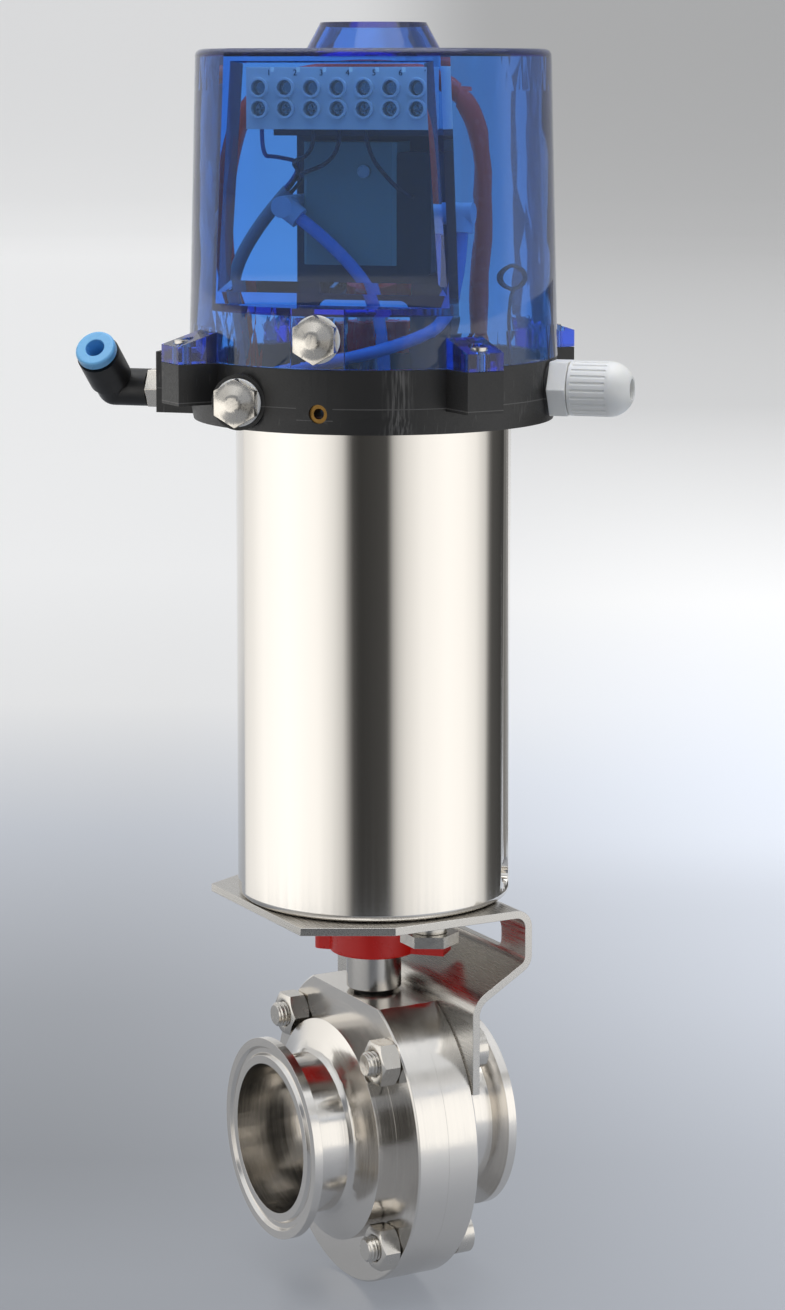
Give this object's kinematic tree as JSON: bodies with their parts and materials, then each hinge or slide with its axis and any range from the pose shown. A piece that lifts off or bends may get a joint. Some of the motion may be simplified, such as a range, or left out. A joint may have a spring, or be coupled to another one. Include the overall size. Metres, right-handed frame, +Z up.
{
  "type": "pneumatic butterfly valve",
  "caption": "Sanitary clamp-end butterfly valve with a bracket-mounted spring-return piston actuator, red turn indicator and clear-covered control head with air and cable entries.",
  "frame": {"origin": "centre of the inlet ferrule's face, on the pipe axis", "axes": "+Y along the pipe from inlet to outlet, +Z up the stem towards the control head, +X to the side"},
  "size_m": [0.1424, 0.1513, 0.406],
  "materials": {
    "cast_steel": "fine machined and satin polished",
    "bolt_steel": "bright turned",
    "mirror_steel": "polished tube",
    "sheet_steel": "brushed sheet",
    "disc_steel": "satin",
    "seat_rubber": "matt",
    "bearing_plastic": "matt",
    "red_plastic": "moulded, satin gloss",
    "shaft_steel": "ground",
    "aluminium": "turned",
    "spring_steel": "drawn wire",
    "black_plastic": "moulded, fine grain",
    "blue_clear": "clear moulded, gloss",
    "clear_grey_plastic": "milky moulded",
    "nickel": "nickel plated, polished",
    "brass": "turned",
    "white_washer": "matt",
    "pale_blue_plastic": "moulded",
    "frame_steel": "dark coated",
    "block_green": "moulded",
    "coil_black": "moulded",
    "strip_milky": "milky moulded",
    "screw_steel": "plated",
    "red_tube": "extruded",
    "blue_tube": "extruded",
    "grey_cable": "extruded",
    "blue_wire": "extruded",
    "dark_wire": "extruded"
  },
  "bodies": {
    "valve": {"body_front_half": "cast_steel", "body_rear_half": "cast_steel", "body_bolts": "bolt_steel", "body_nuts": "bolt_steel", "seat_ring": "seat_rubber", "upper_bushing": "bearing_plastic", "lower_bushing": "bearing_plastic", "mounting_bracket": "sheet_steel", "plate_bolts": "bolt_steel", "plate_sleeves": "bolt_steel", "actuator_cylinder": "mirror_steel", "shaft_bearing": "bearing_plastic", "cylinder_lid": "aluminium", "retaining_ring": "spring_steel", "guide_rods": "shaft_steel", "return_spring": "spring_steel", "head_base": "black_plastic", "base_screws": "screw_steel", "cover_seal": "seat_rubber", "base_vent_plug": "nickel", "base_vent_washer": "white_washer", "brass_insert": "brass", "gland_body": "clear_grey_plastic", "gland_seal": "seat_rubber", "gland_locknut": "clear_grey_plastic", "elbow_hex": "nickel", "inner_frame": "frame_steel", "solenoid_block": "block_green", "solenoid_coil": "coil_black", "terminal_strip": "strip_milky", "terminal_screws": "screw_steel", "closed_switch": "coil_black", "open_switch": "coil_black", "tube_fittings": "pale_blue_plastic", "red_air_tube": "red_tube", "blue_air_tube": "blue_tube", "supply_tube": "blue_tube", "signal_cable": "grey_cable", "blue_wire": "blue_wire", "dark_wires": "dark_wire", "spare_leads": "dark_wire"},
    "stem": {"valve_disc": "disc_steel", "stem_coupling": "disc_steel", "position_indicator": "red_plastic", "drive_shaft": "shaft_steel", "switch_cam": "red_plastic"},
    "piston": {"piston": "aluminium", "piston_seal": "seat_rubber", "drive_pins": "shaft_steel"},
    "cover": {"cover": "blue_clear", "cover_screws": "screw_steel", "cover_vent_plug": "nickel", "cover_vent_washer": "white_washer"},
    "elbow": {"elbow_body": "black_plastic"},
    "collet": {"release_collet": "pale_blue_plastic"},
    "gland_nut": {"gland_nut": "clear_grey_plastic"},
    "button": {"override_button": "screw_steel"},
    "closed_lever": {"closed_switch_lever": "screw_steel"},
    "open_lever": {"open_switch_lever": "screw_steel"}
  },
  "joints": [
    {"name": "piston_stroke", "type": "slide", "parent": "valve", "child": "piston", "axis": [0, 0, 1], "range_m": [0, 0.03], "stiffness_N_per_m": 3000, "springref_m": -0.02, "deforming": ["return_spring"]},
    {"name": "valve_turn", "type": "hinge", "parent": "valve", "child": "stem", "pos_m": [0, 0.038, 0.1], "axis": [0, 0, 1], "range_deg": [-90, 0]},
    {"name": "cover_lift", "type": "slide", "parent": "valve", "child": "cover", "axis": [0, 0, 1], "range_m": [0, 0.12]},
    {"name": "elbow_swivel", "type": "hinge", "parent": "valve", "child": "elbow", "pos_m": [-0.06223, -0.02423, 0.2384], "axis": [-0.7071, -0.7071, 0], "continuous": true},
    {"name": "collet_push", "type": "slide", "parent": "elbow", "child": "collet", "axis": [-0.5572, 0.5572, -0.6157], "range_m": [0, 0.0006], "stiffness_N_per_m": 1500, "springref_m": -0.0004},
    {"name": "gland_nut_turn", "type": "hinge", "parent": "valve", "child": "gland_nut", "pos_m": [0.05303, 0.09103, 0.242], "axis": [0.7071, 0.7071, 0], "continuous": true},
    {"name": "override_push", "type": "slide", "parent": "valve", "child": "button", "axis": [-0.7071, 0.7071, 0], "range_m": [0, 0.001], "stiffness_N_per_m": 600, "springref_m": -0.0005},
    {"name": "closed_lever_tilt", "type": "hinge", "parent": "valve", "child": "closed_lever", "pos_m": [-0.0046, 0.06169, 0.2565], "axis": [0, 0, 1], "range_deg": [0, 4], "stiffness_Nm_per_rad": 0.02, "springref_deg": -1.15},
    {"name": "open_lever_tilt", "type": "hinge", "parent": "valve", "child": "open_lever", "pos_m": [-0.02369, 0.0426, 0.2565], "axis": [0, 0, 1], "range_deg": [-4, 0], "stiffness_Nm_per_rad": 0.02, "springref_deg": 1.15}
  ],
  "couplings": [
    {"joint": "valve_turn", "follows": "piston_stroke", "rad_per_m": -52.36}
  ]
}
